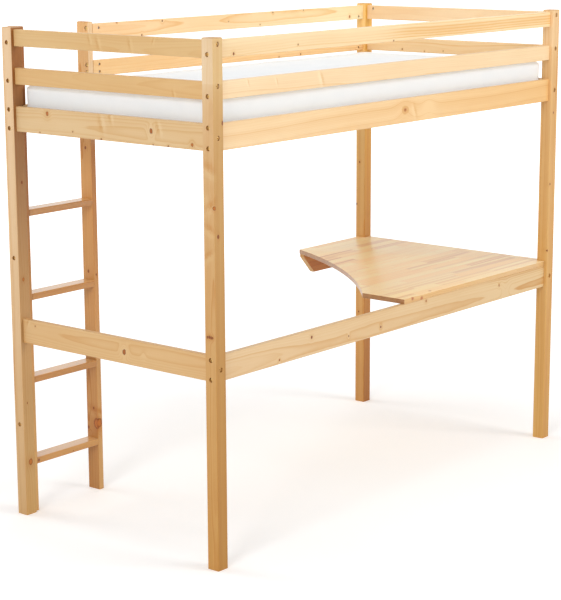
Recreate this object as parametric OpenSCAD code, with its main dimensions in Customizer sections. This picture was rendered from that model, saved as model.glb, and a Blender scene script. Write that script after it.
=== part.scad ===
// Cabin bed in solid pine: a raised single bed on four square posts, with guard rails all
// round, a ladder at the rear left corner and a corner desk top under the right half.
// Millimetres. The origin lies on the floor, in the middle of the whole footprint.
// +X runs along the long side to the right, +Y to the rear (ladder) side, +Z up.

/* [Frame] */
// Outside length of the frame, over the posts
bed_l = 2080; // [1880:10:2180]
// Outside width of the frame, over the posts
bed_w = 980; // [880:10:1180]
// Height of the posts and of the ladder stiles
post_h = 1765; // [1600:1:1850]
// Side of the square posts
post_w = 48; // [45:1:54]
// Bevel round the top of each post and stile
post_bevel = 3; // [1:0.5:5]
// Radius of the eased long edges
edge_r = 3; // [1:0.5:4]

/* [Rails] */
// Thickness of every rail and board
rail_t = 22; // [20:1:26]
// Height of a guard rail
guard_h = 58; // [50:1:66]
// Height of a side board or cross rail
board_h = 88; // [84:1:98]
// Underside of the cross rails above the floor
cross_z = 644; // [600:1:680]
// How far the top guard rails stay below the tops of the posts
guard_drop = 8; // [4:1:30]
// Gap between the guard rails
guard_gap = 74; // [60:1:80]
// Gap between the lower guard rails and the side boards
board_gap = 76; // [60:1:90]

/* [Ladder] */
// Thickness of the ladder stiles and rungs
step_t = 24; // [20:1:28]
// Width of the ladder stiles and rungs
step_w = 58; // [50:1:66]
// Clear width between the stiles
rung_l = 312; // [280:1:380]
// Underside of the lowest rung above the floor
first_rung_z = 177; // [150:1:200]
// Distance from one rung to the next
rung_pitch = 305.7; // [270:0.1:308]
// Number of rungs
rung_n = 4; // [3:1:4]
// Play round the side board in the stile notches
notch_play = 0.3; // [0.2:0.1:1]
// Heights of the bolts that hold the left stile to its post below the bed
stile_bolt_z = [340, 952];

/* [Desk] */
// Thickness of the desk top
desk_t = 18; // [16:1:28]
// Length of the desk top along the front rail
desk_front_l = 1007; // [900:1:1200]
// Length of the desk top along the rear
desk_rear_l = 446; // [380:1:600]
// Straight part of the left edge, from the front
desk_side_l = 194; // [120:1:260]
// Radius of the hollow left edge
desk_arc_r = 2076; // [1400:1:3000]
// Play between the desk top and the posts it is cut round
desk_play = 0.5; // [0.2:0.1:2]
// How far the rear rail of the desk stays inside its left corner
desk_rail_setback = 5; // [0:1:30]
// Length of the slanting cut at that rail's free end
desk_rail_cut_l = 69; // [40:1:90]
// Upright part left at the end above the slanting cut
desk_rail_nose = 14; // [8:1:30]

/* [Bed base] */
// Side of the square ledger strips
ledger_w = 22; // [18:1:30]
// Play at each end of a ledger strip
ledger_play = 1; // [0.3:0.1:1.5]
// Number of slats
slat_n = 15; // [13:1:17]
// Width of a slat
slat_w = 70; // [55:1:80]
// Thickness of a slat
slat_t = 15; // [12:1:18]
// Play at each end of a slat
slat_play = 0.8; // [0.3:0.1:0.9]
// Distance from the posts to the first and the last slat
slat_margin = 12; // [4:1:40]

/* [Mattress] */
// Play between each end of the mattress and the rails
mattress_end_play = 7; // [3:1:40]
// Play between each side of the mattress and the rails
mattress_side_play = 5; // [3:1:40]
// Thickness of the mattress at its middle
mattress_t = 127; // [100:1:180]
// Rise of its top from the edges to the middle
mattress_crown = 5; // [0:0.5:10]
// Radius of its upright corners
mattress_corner_r = 42; // [38:1:90]
// Radius of its top and bottom edges
mattress_edge_r = 20; // [12:1:26]
// How far its sides draw in halfway up
mattress_waist = 1.5; // [0:0.5:4]
// Clearance between the slats and the mattress
mattress_gap = 0.3; // [0.2:0.1:1]

/* [Bolts] */
// Diameter of the bolt shank
bolt_d = 6; // [5:0.5:8]
// Diameter of the bolt head
head_d = 13.5; // [11:0.5:14]
// Height of the bolt head
head_h = 4; // [3:0.5:5]
// Diameter of the counterbore for the head
sink_d = 16; // [14.5:0.5:17]
// Depth of the counterbore in a post
sink_post = 9; // [8:1:16]
// Depth of the counterbore in a ladder stile
sink_stile = 7; // [6:1:10]
// Diameter of the clearance bores for the shank
bore_d = 7; // [6.5:0.5:9]
// Diameter of the barrel nuts
nut_d = 10; // [9:0.5:12]
// Length of the barrel nuts
nut_l = 14; // [10:1:16]
// Play of a barrel nut in its bore, and of the shank in the nut
nut_play = 0.1; // [0.05:0.05:0.3]
// Distance of a barrel nut from the end of its rail
nut_setback = 31; // [24:1:40]
// How far the shank passes the middle of the nut
shank_past = 7; // [6:1:10]
// Half the height between the bolts of the guards round a corner
guard_stagger = 16; // [14:1:17]
// Half the height between the two bolts of a board
board_spread = 33; // [26:1:34]
// Half the height between the two bolts of a guard at the ladder
stile_spread = 13.4; // [11:0.1:16]
// Diameter of the flange of a sleeve nut
flange_d = 13; // [12:0.5:15]
// Thickness of that flange
flange_t = 2; // [1.5:0.5:3]
// Diameter of the sleeve of a sleeve nut
sleeve_d = 8; // [7.5:0.5:9.5]
// Length of that sleeve
sleeve_l = 12; // [9:1:16]

/* [Hidden] */
round_fn = 13;     // visible round bores and heads
hidden_fn = 6;     // shanks and clearance bores, out of sight
edge_fn = 16;      // eased edges
arc_fn = 96;       // the hollow edge of the desk top
cut = 1;           // how far a cutting tool passes a face

inset = (post_w - rail_t) / 2;          // rail's outer face behind the post's
face_in = inset + rail_t;               // rail's inner face from the outside
span_l = bed_l - 2 * post_w;            // between posts, long side
span_w = bed_w - 2 * post_w;            // between posts, short side
axis_in = post_w / 2;                   // bolt axes from the outside faces

stile_y = bed_w - face_in;              // front edge of the stiles
stile_right_x = post_w + step_t + rung_l;
rear_guard_x = stile_right_x + step_t;  // where the rear guards start
total_w = stile_y + step_w;             // footprint over the stiles

top_guard_z = post_h - guard_drop - guard_h;     // undersides of the rails
low_guard_z = top_guard_z - guard_gap - guard_h;
board_z = low_guard_z - board_gap - board_h;
cross_top = cross_z + board_h;
slat_z = board_z + ledger_w;
bed_z = slat_z + slat_t;                // top of the slats
slat_l = bed_w - 2 * (face_in + slat_play);
slat_first = post_w + slat_margin;
slat_pitch = (span_l - 2 * slat_margin - slat_w) / (slat_n - 1);

// Heights of bolt axes above the underside of a rail
guard_mid = guard_h / 2;
board_mid = board_h / 2;
long_guard = [guard_mid - guard_stagger];
end_guard = [guard_mid + guard_stagger];
long_board = [board_mid - board_spread, board_mid + board_spread];
end_board = [board_mid];
stile_guard = [guard_mid - stile_spread, guard_mid + stile_spread];

guard_zs = [low_guard_z, top_guard_z];
function above(base, levels) = [for (z = levels) base + z];
guard_long_z = [for (b = guard_zs) each above(b, long_guard)];
guard_end_z = [for (b = guard_zs) each above(b, end_guard)];
guard_stile_z = [for (b = guard_zs) each above(b, stile_guard)];
board_long_z = above(board_z, long_board);
board_end_z = above(board_z, end_board);
cross_long_z = above(cross_z, long_board);
cross_end_z = above(cross_z, end_board);
all_long_z = concat(guard_long_z, board_long_z, cross_long_z);
all_end_z = concat(guard_end_z, board_end_z, cross_end_z);
pair_z = concat(stile_bolt_z, guard_long_z);  // bolts through post and left stile

slats = [for (i = [1 : slat_n]) str("slat_", i)];
rungs = [for (i = [1 : rung_n]) str("ladder_rung_", i)];

// ---- Placing -------------------------------------------------------------------------

// The pieces are drawn from the outer front left corner of the frame
module placed() {
    translate([-bed_l / 2, -total_w / 2, 0]) children();
}

// Swaps x and y, so that what runs along x runs along y
module swap_xy() {
    rotate([0, 0, 90]) mirror([0, 1, 0]) children();
}

// Mirrors to the right end (ix = 1) and to the rear (iy = 1)
module corner(ix, iy) {
    translate([ix * bed_l, iy * bed_w, 0])
        mirror([ix, 0, 0]) mirror([0, iy, 0]) children();
}

// Turns what stands along z to lie along x
module along_x() {
    rotate([0, 90, 0]) children();
}

// Turns what stands along z to lie along y
module along_y() {
    rotate([-90, 0, 0]) children();
}

// ---- Stock ---------------------------------------------------------------------------

// A rectangle with true arcs at its corners
module eased_rect(w, h) {
    translate([edge_r, 0]) square([w - 2 * edge_r, h]);
    translate([0, edge_r]) square([w, h - 2 * edge_r]);
    for (x = [edge_r, w - edge_r], y = [edge_r, h - edge_r])
        translate([x, y]) circle(r = edge_r, $fn = edge_fn);
}

// Upright square stock, bevelled round its top
module upright(w, d) {
    side = post_bevel * sqrt(2);
    difference() {
        linear_extrude(post_h) eased_rect(w, d);
        for (y = [0, d])
            translate([-cut, y, post_h]) rotate([45, 0, 0])
                translate([0, -side / 2, -side / 2]) cube([w + 2 * cut, side, side]);
        for (x = [0, w])
            translate([x, -cut, post_h]) rotate([0, 45, 0])
                translate([-side / 2, 0, -side / 2]) cube([side, d + 2 * cut, side]);
    }
}

// A board along x: outer face at y = 0, underside at z = 0
module board(len, h, t) {
    along_x() mirror([1, 0, 0]) linear_extrude(len) eased_rect(h, t);
}

// Bores in a board for one connector: from the end x = 0, and across for the barrel nut
module connector_bores(z) {
    translate([-cut, rail_t / 2, z]) along_x()
        cylinder(d = bore_d, h = cut + nut_setback + shank_past + cut, $fn = hidden_fn);
    translate([nut_setback, (rail_t - nut_l) / 2, z]) along_y()
        cylinder(d = nut_d + 2 * nut_play, h = rail_t, $fn = round_fn);
}

// A rail with connectors at the heights given for its left and right ends
module rail(len, h, left_levels, right_levels) {
    difference() {
        board(len, h, rail_t);
        for (z = left_levels) connector_bores(z);
        translate([len, 0, 0]) mirror([1, 0, 0])
            for (z = right_levels) connector_bores(z);
    }
}

// ---- Fasteners -----------------------------------------------------------------------

// A countersunk way for a bolt along x, from a face at x = 0
module bolt_way(sink, depth) {
    translate([-cut, 0, 0]) along_x() cylinder(d = sink_d, h = cut + sink, $fn = round_fn);
    along_x() cylinder(d = bore_d, h = depth + cut, $fn = hidden_fn);
}

// A bolt along x, its head resting at x = sink and its tip at x = reach
module bolt(sink, reach) {
    along_x() {
        translate([0, 0, sink - head_h]) cylinder(d = head_d, h = head_h, $fn = round_fn);
        translate([0, 0, sink - head_h / 2])
            cylinder(d = bolt_d, h = reach - sink + head_h / 2, $fn = hidden_fn);
    }
}

// A barrel nut across y, its middle on the bolt's axis
module barrel_nut() {
    difference() {
        translate([0, -nut_l / 2, 0]) along_y() cylinder(d = nut_d, h = nut_l, $fn = round_fn);
        translate([-nut_d, 0, 0]) along_x()
            cylinder(d = bolt_d + 2 * nut_play, h = 2 * nut_d, $fn = hidden_fn);
    }
}

// A sleeve nut along x: its flange bears on a face at x = 0 and its sleeve goes to -x
module sleeve_nut() {
    difference() {
        union() {
            along_x() cylinder(d = flange_d, h = flange_t, $fn = round_fn);
            translate([-sleeve_l, 0, 0]) along_x()
                cylinder(d = sleeve_d, h = sleeve_l + flange_t / 2, $fn = hidden_fn);
        }
        translate([-sleeve_l - cut, 0, 0]) along_x()
            cylinder(d = bolt_d + 2 * nut_play, h = sleeve_l + cut, $fn = hidden_fn);
    }
}

post_reach = post_w + nut_setback + shank_past;
stile_reach = step_t + nut_setback + shank_past;
pair_reach = post_w + step_t;

// ---- Posts ---------------------------------------------------------------------------

// A post with ways for bolts along x at long_z and along y at end_z
module post(long_z, end_z) {
    color("burlywood") difference() {
        upright(post_w, post_w);
        for (z = long_z) translate([0, axis_in, z]) bolt_way(sink_post, post_w);
        swap_xy() for (z = end_z) translate([0, axis_in, z]) bolt_way(sink_post, post_w);
    }
}

module post_front_left() {
    placed() corner(0, 0) post(all_long_z, all_end_z);
}

module post_front_right() {
    placed() corner(1, 0) post(all_long_z, all_end_z);
}

module post_rear_left() {
    placed() corner(0, 1) post(concat(pair_z, board_long_z), all_end_z);
}

module post_rear_right() {
    placed() corner(1, 1) post(all_long_z, all_end_z);
}

// ---- Ladder --------------------------------------------------------------------------

// A stile at x, notched over the rear side board
module stile(x) {
    color("burlywood") translate([x, stile_y, 0]) difference() {
        upright(step_t, step_w);
        translate([-cut, -cut, board_z - notch_play])
            cube([step_t + 2 * cut, rail_t + notch_play + cut, board_h + 2 * notch_play]);
        children();
    }
}

module ladder_stile_left() {
    placed() stile(post_w) {
        for (z = pair_z) translate([step_t, rail_t / 2, z]) {
            translate([-flange_t - sleeve_l - cut, 0, 0]) along_x()
                cylinder(d = sleeve_d + 2 * nut_play, h = sleeve_l + 2 * cut, $fn = round_fn);
            translate([-flange_t, 0, 0]) along_x()
                cylinder(d = flange_d + 2 * nut_play, h = flange_t + cut, $fn = round_fn);
            translate([-step_t - cut, 0, 0]) along_x()
                cylinder(d = bore_d, h = step_t, $fn = hidden_fn);
        }
    }
}

module ladder_stile_right() {
    placed() stile(stile_right_x) {
        for (z = guard_stile_z) translate([0, rail_t / 2, z]) bolt_way(sink_stile, step_t);
    }
}

module ladder_rung(i) {
    color("burlywood") placed()
        translate([post_w + step_t, stile_y, first_rung_z + (i - 1) * rung_pitch])
            along_x() mirror([1, 0, 0]) linear_extrude(rung_l) eased_rect(step_t, step_w);
}

// ---- Rails and boards ----------------------------------------------------------------

// A rail between the posts of the left (ix = 0) or right (ix = 1) end
module end_rail(ix, z, h, levels) {
    color("wheat") placed() corner(ix, 0) swap_xy()
        translate([post_w, inset, z]) rail(span_w, h, levels, levels);
}

// A rail between the posts of the front
module front_rail(z, h, levels) {
    color("wheat") placed()
        translate([post_w, inset, z]) rail(span_l, h, levels, levels);
}

// A rail of the rear, from x to the right post
module rear_rail(x, z, h, left_levels, right_levels) {
    color("wheat") placed() corner(0, 1)
        translate([x, inset, z]) rail(bed_l - post_w - x, h, left_levels, right_levels);
}

module left_top_guard() { end_rail(0, top_guard_z, guard_h, end_guard); }
module left_low_guard() { end_rail(0, low_guard_z, guard_h, end_guard); }
module left_end_board() { end_rail(0, board_z, board_h, end_board); }
module left_cross_rail() { end_rail(0, cross_z, board_h, end_board); }

module right_top_guard() { end_rail(1, top_guard_z, guard_h, end_guard); }
module right_low_guard() { end_rail(1, low_guard_z, guard_h, end_guard); }
module right_end_board() { end_rail(1, board_z, board_h, end_board); }
module right_cross_rail() { end_rail(1, cross_z, board_h, end_board); }

module front_top_guard() { front_rail(top_guard_z, guard_h, long_guard); }
module front_low_guard() { front_rail(low_guard_z, guard_h, long_guard); }
module front_side_board() { front_rail(board_z, board_h, long_board); }
module front_cross_rail() { front_rail(cross_z, board_h, long_board); }

module rear_top_guard() { rear_rail(rear_guard_x, top_guard_z, guard_h, stile_guard, long_guard); }
module rear_low_guard() { rear_rail(rear_guard_x, low_guard_z, guard_h, stile_guard, long_guard); }
module rear_side_board() { rear_rail(post_w, board_z, board_h, long_board, long_board); }

// ---- Desk ----------------------------------------------------------------------------

desk_right_x = bed_l - inset;
desk_rear_x = desk_right_x - desk_rear_l;
desk_front_x = desk_right_x - desk_front_l;
desk_rail_x = desk_rear_x + desk_rail_setback;

// Centre of the hollow edge, from its two ends and its radius
arc_a = [desk_front_x, inset + desk_side_l];
arc_b = [desk_rear_x, bed_w - inset];
arc_chord = arc_b - arc_a;
arc_rise = sqrt(pow(desk_arc_r, 2) - pow(norm(arc_chord) / 2, 2));
arc_centre = (arc_a + arc_b) / 2 + arc_rise / norm(arc_chord) * [-arc_chord.y, arc_chord.x];

// The top lies on the front, right and rear rails and is cut round the two posts
module desk_top() {
    color("navajowhite") placed() translate([0, 0, cross_top]) linear_extrude(desk_t)
        difference() {
            translate([desk_front_x, inset]) square([desk_front_l, bed_w - 2 * inset]);
            translate(arc_centre) circle(r = desk_arc_r, $fn = arc_fn);
            for (iy = [0, 1]) corner(1, iy)
                translate([-cut, -cut]) square(post_w + desk_play + cut);
        }
}

// The short rail under the rear edge, its free end cut on the slant
module desk_rear_rail() {
    len = bed_l - post_w - desk_rail_x;
    color("wheat") placed() corner(0, 1) translate([desk_rail_x, inset, cross_z])
        difference() {
            rail(len, board_h, [], long_board);
            translate([0, -cut, 0]) along_y() mirror([0, 1, 0])
                linear_extrude(rail_t + 2 * cut) polygon([
                    [-cut, -cut],
                    [desk_rail_cut_l, -cut],
                    [desk_rail_cut_l, 0],
                    [0, board_h - desk_rail_nose],
                    [-cut, board_h - desk_rail_nose]
                ]);
        }
}

// ---- Bed base ------------------------------------------------------------------------

// A ledger strip along the foot of a side board's inner face
module slat_ledger(iy) {
    color("wheat") placed() corner(0, iy)
        translate([post_w + ledger_play, face_in, board_z])
            cube([span_l - 2 * ledger_play, ledger_w, ledger_w]);
}

module slat_ledger_front() { slat_ledger(0); }
module slat_ledger_rear() { slat_ledger(1); }

module slat(i) {
    color("wheat") placed()
        translate([slat_first + (i - 1) * slat_pitch, face_in + slat_play, slat_z])
            cube([slat_w, slat_l, slat_t]);
}

// ---- Mattress ------------------------------------------------------------------------

mattress_l = bed_l - 2 * (face_in + mattress_end_play);
mattress_w = bed_w - 2 * (face_in + mattress_side_play);
corner_steps = 6;
edge_steps = 4;
side_steps = 4;
crown_steps = 4;

// One level outline of the mattress, drawn in by a distance d all round
function outline(d, z) =
    let (r = max(mattress_corner_r - d, 6),
         cx = mattress_l / 2 - d - r,
         cy = mattress_w / 2 - d - r)
    [for (q = [0 : 3], k = [0 : corner_steps])
        let (a = 90 * (q + k / corner_steps),
             sx = (q == 0 || q == 3) ? 1 : -1,
             sy = q < 2 ? 1 : -1)
        [sx * cx + r * cos(a), sy * cy + r * sin(a), z]];

// Levels from the underside round the edge, up the side, round the top edge and over the crown
mattress_side_h = mattress_t - mattress_crown;
bottom_edge = [for (k = [0 : edge_steps])
    let (a = 90 * k / edge_steps)
    outline(mattress_edge_r * (1 - sin(a)), mattress_edge_r * (1 - cos(a)))];
side_wall = [for (k = [1 : side_steps - 1])
    let (u = k / side_steps)
    outline(mattress_waist * sin(180 * u),
            mattress_edge_r + u * (mattress_side_h - 2 * mattress_edge_r))];
top_edge = [for (k = [0 : edge_steps])
    let (a = 90 * k / edge_steps)
    outline(mattress_edge_r * (1 - cos(a)), mattress_side_h - mattress_edge_r * (1 - sin(a)))];
crown_top = [for (k = [1 : crown_steps])
    let (u = k / crown_steps)
    outline(mattress_edge_r + u * (mattress_w / 2 - mattress_edge_r - 20),
            mattress_side_h + mattress_crown * sin(90 * u))];
mattress_rings = concat(bottom_edge, side_wall, top_edge, crown_top);

module mattress() {
    ring_n = 4 * (corner_steps + 1);
    last = (len(mattress_rings) - 1) * ring_n;
    walls = [for (j = [0 : len(mattress_rings) - 2], i = [0 : ring_n - 1])
        let (a = j * ring_n + i, b = j * ring_n + (i + 1) % ring_n)
        each [[a, a + ring_n, b], [b, a + ring_n, b + ring_n]]];
    under = [for (i = [1 : ring_n - 2]) [0, i, i + 1]];
    over = [for (i = [1 : ring_n - 2]) [last, last + i + 1, last + i]];
    color("white") placed() translate([bed_l / 2, bed_w / 2, bed_z + mattress_gap])
        polyhedron(points = [for (ring = mattress_rings) each ring],
                   faces = concat(under, walls, over));
}

// ---- Bolts and nuts ------------------------------------------------------------------

// The bolts of one corner: along x at long_z and along y at end_z
module corner_bolts(ix, iy, long_z, end_z) {
    color("goldenrod") placed() corner(ix, iy) {
        for (z = long_z) translate([0, axis_in, z]) bolt(sink_post, post_reach);
        swap_xy() for (z = end_z) translate([0, axis_in, z]) bolt(sink_post, post_reach);
    }
}

// The barrel nuts that those bolts draw up
module corner_nuts(ix, iy, long_z, end_z) {
    color("goldenrod") placed() corner(ix, iy) {
        for (z = long_z) translate([post_w + nut_setback, axis_in, z]) barrel_nut();
        swap_xy() for (z = end_z) translate([post_w + nut_setback, axis_in, z]) barrel_nut();
    }
}

module bolts_front_left() { corner_bolts(0, 0, all_long_z, all_end_z); }
module bolts_front_right() { corner_bolts(1, 0, all_long_z, all_end_z); }
module bolts_rear_left() { corner_bolts(0, 1, board_long_z, all_end_z); }
module bolts_rear_right() { corner_bolts(1, 1, all_long_z, all_end_z); }

module nuts_front_left() { corner_nuts(0, 0, all_long_z, all_end_z); }
module nuts_front_right() { corner_nuts(1, 0, all_long_z, all_end_z); }
module nuts_rear_left() { corner_nuts(0, 1, board_long_z, all_end_z); }
module nuts_rear_right() { corner_nuts(1, 1, all_long_z, all_end_z); }

// Bolts that hold the left stile to its post, and the rear guards to the right stile
module ladder_bolts() {
    color("goldenrod") placed() {
        corner(0, 1) for (z = pair_z)
            translate([0, axis_in, z]) bolt(sink_post, pair_reach - flange_t);
        for (z = guard_stile_z)
            translate([stile_right_x, stile_y + rail_t / 2, z]) bolt(sink_stile, stile_reach);
    }
}

module ladder_nuts() {
    color("goldenrod") placed() {
        for (z = pair_z)
            translate([pair_reach - flange_t, stile_y + rail_t / 2, z]) sleeve_nut();
        for (z = guard_stile_z)
            translate([rear_guard_x + nut_setback, stile_y + rail_t / 2, z]) barrel_nut();
    }
}

post_front_left();
post_front_right();
post_rear_left();
post_rear_right();
ladder_stile_left();
ladder_stile_right();
for (i = [1 : rung_n]) ladder_rung(i);
left_top_guard();
left_low_guard();
left_end_board();
left_cross_rail();
right_top_guard();
right_low_guard();
right_end_board();
right_cross_rail();
front_top_guard();
front_low_guard();
front_side_board();
front_cross_rail();
rear_top_guard();
rear_low_guard();
rear_side_board();
desk_rear_rail();
desk_top();
slat_ledger_front();
slat_ledger_rear();
for (i = [1 : slat_n]) slat(i);
mattress();
bolts_front_left();
bolts_front_right();
bolts_rear_left();
bolts_rear_right();
nuts_front_left();
nuts_front_right();
nuts_rear_left();
nuts_rear_right();
ladder_bolts();
ladder_nuts();
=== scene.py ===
import math

import bmesh
import bpy
from mathutils import Matrix, Vector, noise as mnoise


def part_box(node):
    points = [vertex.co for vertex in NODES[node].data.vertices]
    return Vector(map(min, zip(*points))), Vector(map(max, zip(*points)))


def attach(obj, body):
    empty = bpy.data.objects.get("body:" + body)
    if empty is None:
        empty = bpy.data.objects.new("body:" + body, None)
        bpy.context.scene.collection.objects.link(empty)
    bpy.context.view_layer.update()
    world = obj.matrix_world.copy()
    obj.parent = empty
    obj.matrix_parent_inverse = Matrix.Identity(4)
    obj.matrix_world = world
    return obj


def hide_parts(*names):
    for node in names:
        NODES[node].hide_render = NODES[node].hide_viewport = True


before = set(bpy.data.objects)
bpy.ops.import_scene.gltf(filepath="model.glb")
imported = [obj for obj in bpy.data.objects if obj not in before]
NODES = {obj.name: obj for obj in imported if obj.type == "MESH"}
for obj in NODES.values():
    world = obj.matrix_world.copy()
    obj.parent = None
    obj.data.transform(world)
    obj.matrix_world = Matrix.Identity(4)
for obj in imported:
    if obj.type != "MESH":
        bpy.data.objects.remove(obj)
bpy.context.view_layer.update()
SHIFT = Vector((1.040, 0.5015, 0.0))  # from the frame's outer front left corner to the origin


def at(x, y, z):
    """A point given in mm from the frame's outer front left corner, in the shared frame."""
    return Vector((x, y, z)) / 1000 - SHIFT


def place(distance, axis):
    """One coordinate of such a point."""
    return distance / 1000 - SHIFT[axis]


def linear(channel):
    """An sRGB channel, 0 to 255, as a linear value."""
    c = channel / 255
    return c / 12.92 if c <= 0.04045 else ((c + 0.055) / 1.055) ** 2.4


def srgb(r, g, b):
    """An sRGB colour, 0 to 255 a channel, as a linear one with alpha 1."""
    return (linear(r), linear(g), linear(b), 1.0)


# ---- Node trees ----------------------------------------------------------------------------


class Tree:
    """The node tree of a new material or world. Most calls add a node and return its output."""

    def __init__(self, owner):
        owner.use_nodes = True
        self.owner = owner
        self.tree = owner.node_tree
        self.tree.nodes.clear()

    def add(self, kind, **properties):
        node = self.tree.nodes.new(kind)
        for key, value in properties.items():
            setattr(node, key, value)
        return node

    def put(self, socket, value):
        """Links a socket to an output, or sets its own number or colour."""
        if isinstance(value, bpy.types.NodeSocket):
            self.tree.links.new(value, socket)
        elif value is not None:
            socket.default_value = value

    def calc(self, operation, a, b=None, c=None, clamp=False):
        node = self.add("ShaderNodeMath", operation=operation, use_clamp=clamp)
        for socket, value in zip(node.inputs, (a, b, c)):
            self.put(socket, value)
        return node.outputs[0]

    def plus(self, a, b, clamp=False):
        return self.calc("ADD", a, b, clamp=clamp)

    def minus(self, a, b):
        return self.calc("SUBTRACT", a, b)

    def times(self, a, b):
        return self.calc("MULTIPLY", a, b)

    def times_plus(self, a, b, c):
        return self.calc("MULTIPLY_ADD", a, b, c)

    def over(self, a, b):
        return self.calc("DIVIDE", a, b)

    def spread(self, a, width):
        """A value of 0 to 1 as one of -width / 2 to width / 2."""
        return self.times_plus(a, width, -width / 2)

    def length(self, *parts):
        """The length of a vector of two or three parts."""
        total = None
        for part in reversed(parts):
            square = self.times(part, part)
            total = square if total is None else self.plus(square, total)
        return self.calc("SQRT", total)

    def split(self, vector):
        node = self.add("ShaderNodeSeparateXYZ")
        self.put(node.inputs[0], vector)
        return node.outputs

    def xyz(self, x, y, z):
        node = self.add("ShaderNodeCombineXYZ")
        for socket, value in zip(node.inputs, (x, y, z)):
            self.put(socket, value)
        return node.outputs[0]

    def noise1(self, w, scale):
        node = self.add("ShaderNodeTexNoise", noise_dimensions="1D")
        for socket, value in (("W", w), ("Scale", scale), ("Detail", 1.0)):
            self.put(node.inputs[socket], value)
        return node.outputs[0]

    def noise3(self, vector, scale=1.0, detail=2.0, rough=0.5):
        node = self.add("ShaderNodeTexNoise")
        values = (("Vector", vector), ("Scale", scale), ("Detail", detail), ("Roughness", rough))
        for socket, value in values:
            self.put(node.inputs[socket], value)
        return node.outputs[0]

    def grain(self, along, thick, wide, per_metre, detail=2.0, rough=0.5):
        """Noise drawn out along the grain; per_metre is how often it changes, along and across."""
        slow, fast = per_metre
        vector = self.xyz(self.times(along, slow), self.times(thick, fast), self.times(wide, fast))
        return self.noise3(vector, 1.0, detail, rough)

    def white1(self, w):
        """A random number of 0 to 1 for each value."""
        node = self.add("ShaderNodeTexWhiteNoise", noise_dimensions="1D")
        self.put(node.inputs["W"], w)
        return node.outputs[0]

    def white3(self, vector):
        """A random number and a random colour for each point."""
        node = self.add("ShaderNodeTexWhiteNoise", noise_dimensions="3D")
        self.put(node.inputs["Vector"], vector)
        return node.outputs

    def span(self, value, a, b, c=0.0, d=1.0, smooth=False):
        """The range a to b as the range c to d, and no further."""
        node = self.add("ShaderNodeMapRange", clamp=True)
        if smooth:
            node.interpolation_type = "SMOOTHSTEP"
        for socket, number in zip(node.inputs, (value, a, b, c, d)):
            self.put(socket, number)
        return node.outputs[0]

    def mix(self, factor, a, b, mode="MIX"):
        """A colour between a and b."""
        node = self.add("ShaderNodeMix", data_type="RGBA", blend_type=mode)
        for index, value in ((0, factor), (6, a), (7, b)):
            self.put(node.inputs[index], value)
        return node.outputs[2]

    def tint(self, factor, colour, by):
        """A colour multiplied by another, where factor is 1."""
        return self.mix(factor, colour, self.mix(1.0, colour, by, "MULTIPLY"))

    def ramp(self, factor, stops):
        """A grey by straight lines through stops of (position, value)."""
        node = self.add("ShaderNodeValToRGB")
        elements = node.color_ramp.elements
        while len(elements) < len(stops):
            elements.new(0.5)
        for element, (position, value) in zip(elements, stops):
            element.position = position
            element.color = (value, value, value, 1.0)
        self.put(node.inputs[0], factor)
        return node.outputs[0]


class Material(Tree):
    """A new material with a Principled shader."""

    def __init__(self, name):
        super().__init__(bpy.data.materials.new(name))
        self.shader = self.add("ShaderNodeBsdfPrincipled")
        self.put(self.add("ShaderNodeOutputMaterial").inputs[0], self.shader.outputs[0])
        coords = self.add("ShaderNodeTexCoord")
        self.point = coords.outputs["Object"]
        self.normal = coords.outputs["Normal"]

    def set_shader(self, **sockets):
        """Sets the shader's sockets, named with _ for a space, each on itself or by a link."""
        for name, value in sockets.items():
            self.put(self.shader.inputs[name.replace("_", " ")], value)

    def bump(self, height, strength, distance):
        node = self.add("ShaderNodeBump")
        node.inputs["Strength"].default_value = strength
        node.inputs["Distance"].default_value = distance
        self.put(node.inputs["Height"], height)
        self.set_shader(Normal=node.outputs[0])


# ---- Pine ----------------------------------------------------------------------------------

YEAR = ((0.0, 0.0), (0.42, 0.06), (0.78, 0.66), (0.93, 1.0), (1.0, 0.0))  # early wood to late wood
EARLY = (1.08, 1.14, 1.26)  # against a board's mean colour
LATE = (0.88, 0.68, 0.42)
END_GRAIN = srgb(206, 178, 140)  # what the colour is multiplied by on faces across the grain

TRUNK_PER_METRE = (7.0, 38.0)  # how often each noise changes, along and across the grain
BLOTCH_PER_METRE = (2.4, 11.0)
FIBRE_PER_METRE = (6.0, 420.0)
PORE_PER_METRE = (14.0, 1500.0)
FIBRE_DETAIL = (3.0, 0.62)
PORE_BUMP = (0.25, 0.00025)  # strength and depth in metres

FIGURE_STEP = 1.731  # how far one more seed moves each noise along the grain
FIBRE_STEP = 2.1
BAND_STEP = 3.3
ROW_STEP = 17.3  # the same for the next piece of a row
ROW_SPREAD = 0.05  # and how far its middle may move across the width
ROW_MARGIN = 0.001  # keeps the faces at a piece's start in its own place of the row
PITH_WANDER = (0.014, 0.018)  # how far the pith strays through the thickness and the width
PITH_PER_METRE = (1.3, 1.1)
PITH_APART = 37.2  # keeps the two from straying alike
RING_WAVER = 0.0026
TRUNK_TAPER = 0.004
YEAR_STRENGTH = (1.5, 0.30)  # from the weakest year to the strongest, and the weakest
YEAR_POWER = 4.0  # makes strong years rare
BANDS_PER_YEAR = 0.21
BAND_TONE = 0.44  # how much each part of the figure lightens and darkens the wood
FIBRE_TONE = 0.30
BLOTCH_TONE = 0.50
EARLY_TONE = 0.16  # how dark early wood is
STRIPE_STRENGTH = 0.55  # what stripes add to the late wood and, as factor and offset, to the bands
STRIPE_BANDS = (1.3, -0.74)
FRONT_FACE = (-0.4, -0.9)  # the normal's y, from the other faces to the front one, which takes the painted light and shade
END_FACE = (0.55, 0.85)  # the normal along the grain, from the other faces to the ends
END_TONE = 0.75
END_ROUGHNESS = 0.10
PORE_ROUGHNESS = 0.10

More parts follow.
